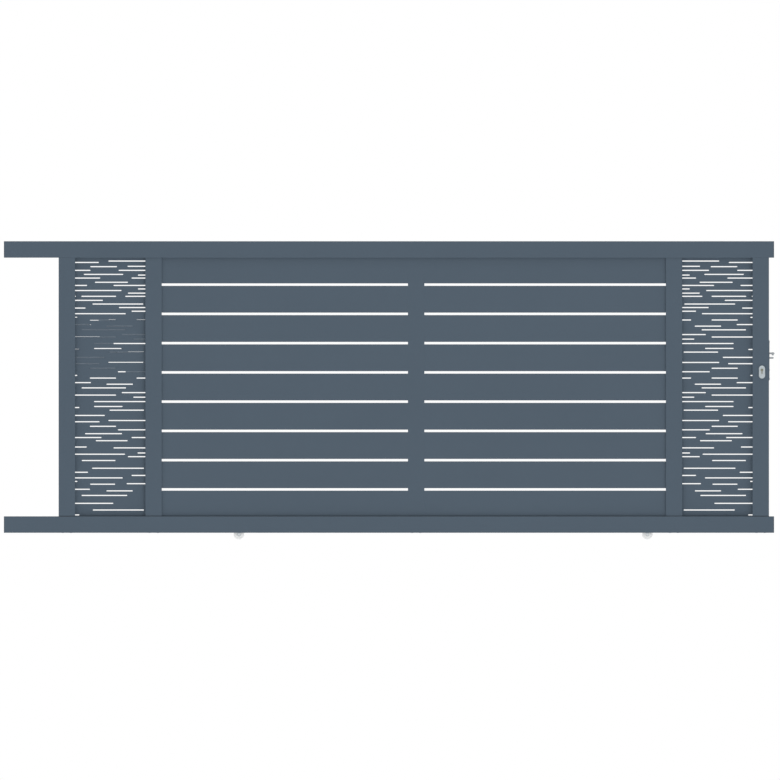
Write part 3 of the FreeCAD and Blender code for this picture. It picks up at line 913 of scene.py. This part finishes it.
# Wheels: nylon tyre with a round groove, ball bearing and spacer sleeves
wheel = {
    "radius": 30 * mm,
    "halfWidth": 10 * mm,
    "edge": 1 * mm,
    "grooveRadius": 8 * mm,
    "grooveDepth": 6 * mm,
    "bearingRadius": 11 * mm,
    "bossRadius": 13.5 * mm,
    "bossEase": 0.5 * mm,
    "webFrom": 14.4 * mm,
    "webTo": 21.4 * mm,
    "webSlope": 0.7 * mm,
    "webDepth": 1.4 * mm,
    "spokes": 10,
    "spokeWidth": 1.5 * mm,
    "spokeOverlap": 1 * mm,     # into the boss and the rim, both ends together
}
bearing = {
    "boreRadius": 4.05 * mm,
    "recess": 1 * mm,           # from the wheel's sides
    "raceWidth": 1.6 * mm,
    "raceEdge": 0.3 * mm,
    "shieldRim": 1.7 * mm,      # from the race's outside
    "shieldRecess": 0.5 * mm,   # from the race's sides
    "shieldDish": 0.8 * mm,     # the same beside the sleeve
    "sleeveRadius": 7 * mm,
    "shieldHole": 0.6 * mm,     # this and the next two are set in from the sleeve's radius
    "sleeveWall": 0.7 * mm,
    "sleeveTip": 1.1 * mm,
    "sleeveStart": 0.9,         # as a share of the race's half width
    "sleeveEase": 0.4 * mm,
    "sleeveEnd": 14.7 * mm,
}


def tyreOutline():
    # half of the section, from the bearing seat out to the groove's bottom
    radius, half = wheel["radius"], wheel["halfWidth"]
    side = [
        (wheel["bearingRadius"], half - wheel["bossEase"]),
        (wheel["bearingRadius"] + wheel["bossEase"], half),
        (wheel["bossRadius"], half),
        (wheel["webFrom"], half - wheel["webDepth"]),
        (wheel["webTo"], half - wheel["webDepth"]),
        (wheel["webTo"] + wheel["webSlope"], half),
        (radius - wheel["edge"], half),
        (radius, half - wheel["edge"]),
    ]
    middle = radius - wheel["grooveDepth"] + wheel["grooveRadius"]
    opening = math.acos((middle - radius) / wheel["grooveRadius"])
    steps = 14
    groove = []
    for step in range(steps + 1):
        angle = opening * (1 - step / steps)
        reach = wheel["grooveRadius"]
        groove.append((middle - reach * math.cos(angle), reach * math.sin(angle)))
    right = side + groove
    left = [(distance, -along) for distance, along in reversed(right[:-1])]
    return right + left


def makeWheel(side):
    node = side + "_wheel"
    body = bodyOf[node]
    low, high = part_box(node)
    centre = (low + high) / 2
    mesh = bmesh.new()
    turned(mesh, tyreOutline(), centre, steps=96)
    tyre = asPiece(node + "_tyre", mesh, plastic["nylon"], body, 25)
    storeAxleDistance(tyre, centre)
    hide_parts(node)

    ribPlace = wheel["halfWidth"] - wheel["webDepth"] / 2
    faces = [centre + Vector((0, way * ribPlace, 0)) for way in (-1, 1)]
    grow(node + "_ribs", spokeTree, faces, {
        "Count": wheel["spokes"],
        "Middle Radius": (wheel["webFrom"] + wheel["webTo"]) / 2,
        "Length": wheel["webTo"] - wheel["webFrom"] + wheel["spokeOverlap"],
        "Width": wheel["spokeWidth"],
        "Height": wheel["webDepth"],
        "Finish": plastic["nylon"],
    }, body)

    mesh = bmesh.new()
    bore, ring, sleeve = bearing["boreRadius"], wheel["bearingRadius"], bearing["sleeveRadius"]
    half = wheel["halfWidth"] - bearing["recess"]
    inner, edge = ring - bearing["raceWidth"], bearing["raceEdge"]
    turned(mesh, [  # outer race
        (inner, -half), (ring - edge, -half), (ring, edge - half),
        (ring, half - edge), (ring - edge, half), (inner, half),
    ], centre, steps=64)
    rim, hole = ring - bearing["shieldRim"], sleeve - bearing["shieldHole"]
    recess, dish = bearing["shieldRecess"], bearing["shieldDish"]
    turned(mesh, [  # shield, set back a little and dished
        (hole, dish - half), (rim, recess - half), (rim, half - recess), (hole, half - dish),
    ], centre, steps=64)
    wall, tip = sleeve - bearing["sleeveWall"], sleeve - bearing["sleeveTip"]
    end, ease = bearing["sleeveEnd"], bearing["sleeveEase"]
    for way in (-1, 1):
        start = way * half * bearing["sleeveStart"]
        turned(mesh, [  # sleeve between the bearing and the cheek
            (bore, start), (wall, start), (wall, way * (end - ease)),
            (tip, way * end), (bore, way * end),
        ], centre, steps=48)
    core = asPiece(node + "_bearing", mesh, metal["zinc"], body, 30)
    storeAxleDistance(core, centre)


# Axle bolts: head and washer in front, nut, washer and thread end behind
axleBolt = {
    "shankRadius": 4 * mm,
    "acrossFlats": 13 * mm,
    "headHeight": 4 * mm,
    "chamfer": 0.7 * mm,
    "washerRadius": 7.2 * mm,
    "washerHeight": 1 * mm,
    "washerEdge": 0.25 * mm,
    "threadEnd": 1.5 * mm,
    "threadPitch": 1.25 * mm,
    "threadDepth": 0.45 * mm,
    "tipInset": 1 * mm,
    "tipHeight": 0.5 * mm,
}


def makeAxle(side):
    node = side + "_axle"
    low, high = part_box(node)
    centre = (low + high) / 2
    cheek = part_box(side + "_wheel_carrier")[1].y
    shank = axleBolt["shankRadius"]
    headStart = cheek + axleBolt["washerHeight"]
    headEnd = headStart + axleBolt["headHeight"]
    mesh = bmesh.new()
    for way in (-1, 1):
        washer, edge = axleBolt["washerRadius"], axleBolt["washerEdge"]
        turned(mesh, [
            (shank, way * cheek), (washer, way * cheek), (washer, way * (headStart - edge)),
            (washer - edge, way * headStart), (shank, way * headStart),
        ], centre, steps=48)
        hexagon(mesh, centre, axleBolt["acrossFlats"], way * headStart, way * headEnd, axleBolt["chamfer"])
    stud = [(0, -headStart), (shank, -headStart), (shank, headStart), (0, headStart)]
    turned(mesh, stud, centre, 48, False)
    pitch = axleBolt["threadPitch"]
    thread = [(0, headEnd - pitch)]
    halfTurns = int(axleBolt["threadEnd"] / pitch * 2) + 2
    for number in range(halfTurns):
        depth = 0.0 if number % 2 else axleBolt["threadDepth"]
        thread.append((shank - depth, headEnd - pitch + number * pitch / 2))
    tip = thread[-1][1] + axleBolt["tipHeight"]
    thread += [(shank - axleBolt["tipInset"], tip), (0, tip)]
    turned(mesh, thread, centre, 48, False)
    bolt = asPiece(node + "_bolt", mesh, metal["zinc"], "leaf", 25)
    storeAxleDistance(bolt, centre)
    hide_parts(node)


for side in ("left", "right"):
    makeWheel(side)
    makeAxle(side)
    carrier = side + "_wheel_carrier"
    easedCopy(carrier, carrier + "_bracket", metal["zinc"], "leaf", 0.45 * mm)
print("wheels, axle bolts and brackets: 2 of each")


# Lock: eased metal parts, and raised screws
lockLook = {
    "plateEdge": 0.35 * mm,
    "hookEdge": 0.45 * mm,
    "plugEdge": 0.15 * mm,
    "cylinderEdge": 0.25 * mm,
    "screwRadius": 4.3 * mm,
    "screwRise": 1.3 * mm,
    "screwInset": 9 * mm,
    # the dome's section, in shares of its radius and of its rise
    "screwDome": [(1.0, 0.0), (1.0, 0.25), (0.9, 0.62), (0.74, 0.92), (0.62, 1.0)],
    "socketHalfWidth": 0.14,    # shares of the head's radius
    "socketReach": 0.53,
    "socketTaper": 0.8,         # the socket's floor, as a share of its mouth
    "socketFloor": 0.15,        # and how high it lies, as a share of the rise
    "coverScrewRadius": 3.4 * mm,
    "coverScrewFromEnd": 10.5 * mm,
    "seed": 11,
}


def makeScrewHead(radius, rise):
    # a low dome with a cross cut in it, its axis along Z
    mesh = bmesh.new()
    steps = 40
    rings = []
    for far, up in lockLook["screwDome"]:
        ring = []
        for step in range(steps):
            angle = 2 * math.pi * step / steps
            ring.append(mesh.verts.new((
                radius * far * math.cos(angle), radius * far * math.sin(angle), rise * up,
            )))
        rings.append(ring)
    for lower, upper in zip(rings, rings[1:]):
        for step in range(steps):
            after = (step + 1) % steps
            mesh.faces.new((lower[step], lower[after], upper[after], upper[step]))
    mesh.faces.new(list(reversed(rings[0])))
    half, reach = lockLook["socketHalfWidth"] * radius, lockLook["socketReach"] * radius
    cross = [(reach, -half), (reach, half), (half, half)]
    corners = []
    for quarter in range(4):
        cosine, sine = math.cos(math.pi / 2 * quarter), math.sin(math.pi / 2 * quarter)
        for x, y in cross:
            corners.append((x * cosine - y * sine, x * sine + y * cosine))
    brim = [mesh.verts.new((x, y, rise)) for x, y in corners]
    taper, bottom = lockLook["socketTaper"], rise * lockLook["socketFloor"]
    floor = [mesh.verts.new((x * taper, y * taper, bottom)) for x, y in corners]
    for number in range(len(corners)):
        after = (number + 1) % len(corners)
        mesh.faces.new((brim[number], brim[after], floor[after], floor[number]))
    mesh.faces.new(floor)
    mesh.edges.ensure_lookup_table()
    outer = [mesh.edges.get((rings[-1][i], rings[-1][(i + 1) % steps])) for i in range(steps)]
    inner = [mesh.edges.get((brim[i], brim[(i + 1) % len(brim)])) for i in range(len(brim))]
    bmesh.ops.triangle_fill(mesh, use_beauty=True, edges=outer + inner, normal=(0, 0, 1))
    bmesh.ops.recalc_face_normals(mesh, faces=mesh.faces)
    data = bpy.data.meshes.new("screw_part")
    mesh.to_mesh(data)
    mesh.free()
    return bpy.data.objects.new("screw_part", data)


def setScrews(name, radius, points, facing, material):
    part = makeScrewHead(radius, lockLook["screwRise"])
    grow(name, repeatTree, points, {
        "Part": part,
        "Facing": facing,
        "Turn Spread": math.pi,
        "Turn Seed": lockLook["seed"],
        "Finish": material,
    }, "leaf", 30)
    bpy.data.objects.remove(part)


easedParts = [
    ("lock_faceplate", "_plate", metal["lock"], "plateEdge"),
    ("hook_bolt", "_blade", metal["bolt"], "hookEdge"),
    ("key_plug", "_face", metal["brass"], "plugEdge"),
    ("lock_cylinder", "_body", metal["nickel"], "cylinderEdge"),
]
for node, ending, material, edge in easedParts:
    easedCopy(node, node + ending, material, bodyOf[node], lockLook[edge])

plateLow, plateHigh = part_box("lock_faceplate")
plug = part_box("key_plug")
plugX, plugZ = (plug[0].x + plug[1].x) / 2, (plug[0].z + plug[1].z) / 2
plateScrews = [
    (plateHigh.x, 0, plateLow.z + lockLook["screwInset"]),
    (plateHigh.x, 0, plateHigh.z - lockLook["screwInset"]),
    (plateHigh.x, 0, plugZ),
]
setScrews(
    "lock_faceplate_screws", lockLook["screwRadius"], plateScrews, (1, 0, 0),
    metal["lock"],
)
coverLow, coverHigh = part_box("back_escutcheon")
coverScrews = [
    (plugX, coverHigh.y, coverLow.z + lockLook["coverScrewFromEnd"]),
    (plugX, coverHigh.y, coverHigh.z - lockLook["coverScrewFromEnd"]),
]
setScrews(
    "back_escutcheon_screws", lockLook["coverScrewRadius"], coverScrews, (0, 1, 0),
    metal["satin"],
)
print("lock screws:", len(plateScrews) + len(coverScrews))


# Floor, light and camera
studio = {
    "floorSize": 40,
    "floorColour": (0.62, 0.62, 0.62, 1),
    "floorGlow": 0.36,          # lifts the floor to the background's white
    "lowLevel": 1.15,           # light from a little below the horizon
    "highLevel": 0.5,           # and from a little above it
    "footRise": 0.5,            # what is added straight below
    "headRise": 0.8,            # and straight above
    "levelBand": 0.12,          # how far from the horizon the low and high levels start
    "fromRight": 0.25,
    "topLamp": 1.0,
    "topLampSpread": 50,
    "topLampHeight": 6,
}


def makeFloor():
    half = studio["floorSize"] / 2
    height = cadBox[0].z
    mesh = bpy.data.meshes.new("floor")
    corners = [(-half, -half, height), (half, -half, height), (half, half, height), (-half, half, height)]
    mesh.from_pydata(corners, [], [(0, 1, 2, 3)])
    floor = bpy.data.objects.new("floor", mesh)
    bpy.context.scene.collection.objects.link(floor)
    material = bpy.data.materials.new("floorPaint")
    material.use_nodes = True
    tree = material.node_tree
    tree.nodes.clear()
    plain = tree.nodes.new("ShaderNodeBsdfDiffuse")
    plain.inputs["Color"].default_value = studio["floorColour"]
    glow = tree.nodes.new("ShaderNodeEmission")
    tree.links.new(seenShare(tree, studio["floorGlow"]), glow.inputs["Strength"])
    both = tree.nodes.new("ShaderNodeAddShader")
    tree.links.new(plain.outputs[0], both.inputs[0])
    tree.links.new(glow.outputs[0], both.inputs[1])
    leave = tree.nodes.new("ShaderNodeOutputMaterial")
    tree.links.new(both.outputs[0], leave.inputs["Surface"])
    mesh.materials.append(material)
    floor.visible_diffuse = False
    floor.visible_shadow = False


def seenShare(tree, high):
    # high for what the eye, a reflection or a clear body sees, and 0 for soft light
    path = tree.nodes.new("ShaderNodeLightPath")
    either = tree.nodes.new("ShaderNodeMath")
    either.operation = "MAXIMUM"
    tree.links.new(path.outputs["Is Camera Ray"], either.inputs[0])
    tree.links.new(path.outputs["Is Glossy Ray"], either.inputs[1])
    whole = tree.nodes.new("ShaderNodeMath")
    whole.operation = "MAXIMUM"
    tree.links.new(either.outputs[0], whole.inputs[0])
    tree.links.new(path.outputs["Is Transmission Ray"], whole.inputs[1])
    scaled = tree.nodes.new("ShaderNodeMath")
    scaled.operation = "MULTIPLY"
    scaled.inputs[1].default_value = high
    tree.links.new(whole.outputs[0], scaled.inputs[0])
    return scaled.outputs[0]


def makeWorld():
    world = bpy.data.worlds.new("studio")
    bpy.context.scene.world = world
    world.use_nodes = True
    tree = world.node_tree
    background = tree.nodes["Background"]
    background.inputs["Color"].default_value = (1, 1, 1, 1)
    place = tree.nodes.new("ShaderNodeTexCoord")
    way = tree.nodes.new("ShaderNodeSeparateXYZ")
    tree.links.new(place.outputs["Generated"], way.inputs["Vector"])
    low, high, band = studio["lowLevel"], studio["highLevel"], studio["levelBand"]
    level = spread(tree, way.outputs["Z"], low, high, -band, band)
    for start, most in ((-0.5, studio["footRise"]), (0.5, studio["headRise"])):
        rise = spread(tree, way.outputs["Z"], 0, most, start, 2 * start)
        level = together(tree, level, rise)
    right = tree.nodes.new("ShaderNodeMath")
    right.operation = "MULTIPLY_ADD"
    right.inputs[1].default_value = studio["fromRight"]
    tree.links.new(way.outputs["X"], right.inputs[0])
    tree.links.new(level, right.inputs[2])
    mix = tree.nodes.new("ShaderNodeMix")
    tree.links.new(seenShare(tree, 1), mix.inputs[0])
    tree.links.new(right.outputs[0], mix.inputs[2])
    mix.inputs[3].default_value = 1
    tree.links.new(mix.outputs[0], background.inputs["Strength"])


def makeTopLamp():
    light = bpy.data.lights.new("topLamp", "SUN")
    light.energy = studio["topLamp"]
    light.angle = math.radians(studio["topLampSpread"])
    lamp = bpy.data.objects.new("topLamp", light)
    bpy.context.scene.collection.objects.link(lamp)
    lamp.location = (0, 0, studio["topLampHeight"])


# The photograph's frame: column 389 is the gate's middle, row 532.8 its underside, 5.7 mm a pixel
photo = {
    "pixels": 780,
    "middleColumn": 388.98,
    "footRow": 532.8,
    "pixelSize": 5.7 * mm,
    "distance": 8,
    "farthest": 60,
}


def makeCamera():
    camera = bpy.data.cameras.new("camera")
    camera.type = "ORTHO"
    camera.ortho_scale = photo["pixels"] * photo["pixelSize"]
    camera.clip_end = photo["farthest"]
    holder = bpy.data.objects.new("camera", camera)
    bpy.context.scene.collection.objects.link(holder)
    half = photo["pixels"] / 2
    across = (half - photo["middleColumn"]) * photo["pixelSize"]
    height = (photo["footRow"] - half) * photo["pixelSize"]
    holder.location = (across, -photo["distance"], height)
    holder.rotation_euler = (math.radians(90), 0, 0)
    bpy.context.scene.camera = holder


makeFloor()
makeWorld()
makeTopLamp()
makeCamera()
bpy.context.scene.view_settings.view_transform = "Standard"
print("studio ready")
